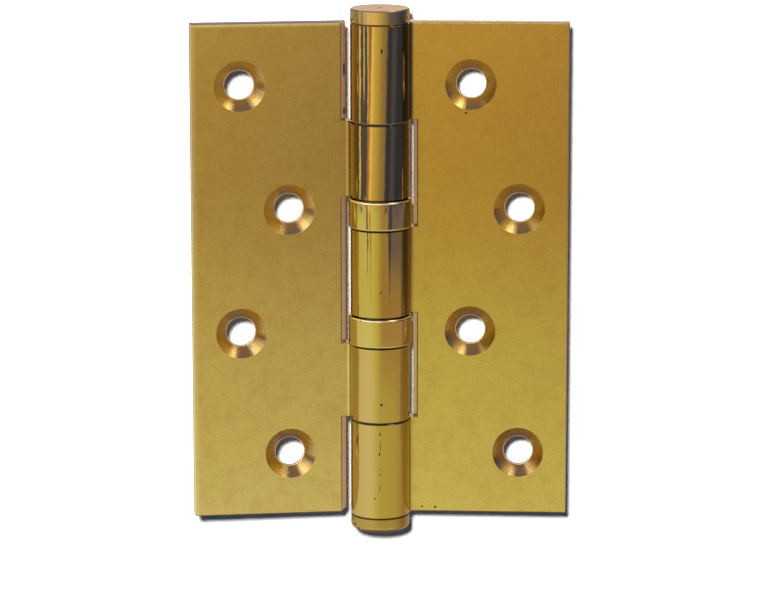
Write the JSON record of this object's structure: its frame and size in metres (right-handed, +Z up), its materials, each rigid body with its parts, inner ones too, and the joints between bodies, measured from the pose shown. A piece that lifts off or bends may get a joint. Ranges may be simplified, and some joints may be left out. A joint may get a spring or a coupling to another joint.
{
  "type": "ball bearing butt hinge",
  "caption": "Polished brass butt hinge with five knuckles, ball bearings between them, flat button tips and staggered countersunk screw holes.",
  "frame": {"origin": "on the pin axis, half way up the leaves", "axes": "+Z up along the pin axis, +Y out of the frame leaf's back face, +X from the pin towards the frame leaf's outer edge"},
  "size_m": [0.0764, 0.0128, 0.1074],
  "materials": {
    "leaf_brass": "satin polished, bright on the knuckles",
    "sleeve_brass": "mirror polished",
    "tip_brass": "turned, lightly polished",
    "pin_steel": "ground",
    "race_steel": "hardened and ground",
    "ball_steel": "polished"
  },
  "bodies": {
    "frame": {"frame_leaf": "leaf_brass", "hinge_pin": "pin_steel", "top_tip": "tip_brass", "bottom_tip": "tip_brass", "upper_bearing_sleeve": "sleeve_brass", "upper_bearing_bottom_race": "race_steel", "lower_bearing_top_race": "race_steel"},
    "door": {"door_leaf": "leaf_brass", "upper_bearing_top_race": "race_steel", "lower_bearing_bottom_race": "race_steel", "lower_bearing_sleeve": "sleeve_brass"},
    "upper_ball_row": {"upper_bearing_ball_01": "ball_steel", "upper_bearing_ball_02": "ball_steel", "upper_bearing_ball_03": "ball_steel", "upper_bearing_ball_04": "ball_steel", "upper_bearing_ball_05": "ball_steel", "upper_bearing_ball_06": "ball_steel", "upper_bearing_ball_07": "ball_steel", "upper_bearing_ball_08": "ball_steel", "upper_bearing_ball_09": "ball_steel", "upper_bearing_ball_10": "ball_steel", "upper_bearing_ball_11": "ball_steel"},
    "lower_ball_row": {"lower_bearing_ball_01": "ball_steel", "lower_bearing_ball_02": "ball_steel", "lower_bearing_ball_03": "ball_steel", "lower_bearing_ball_04": "ball_steel", "lower_bearing_ball_05": "ball_steel", "lower_bearing_ball_06": "ball_steel", "lower_bearing_ball_07": "ball_steel", "lower_bearing_ball_08": "ball_steel", "lower_bearing_ball_09": "ball_steel", "lower_bearing_ball_10": "ball_steel", "lower_bearing_ball_11": "ball_steel"}
  },
  "joints": [
    {"name": "leaf_swing", "type": "hinge", "parent": "frame", "child": "door", "pos_m": [0, 0, 0], "axis": [0, 0, 1], "range_deg": [-115, 170]},
    {"name": "upper_balls_roll", "type": "hinge", "parent": "frame", "child": "upper_ball_row", "pos_m": [0, 0, 0.01208], "axis": [0, 0, 1], "range_deg": [-60, 90]},
    {"name": "lower_balls_roll", "type": "hinge", "parent": "frame", "child": "lower_ball_row", "pos_m": [0, 0, -0.01208], "axis": [0, 0, 1], "range_deg": [-60, 90]}
  ],
  "couplings": [
    {"joint": "upper_balls_roll", "follows": "leaf_swing", "ratio": 0.5},
    {"joint": "lower_balls_roll", "follows": "leaf_swing", "ratio": 0.5}
  ]
}
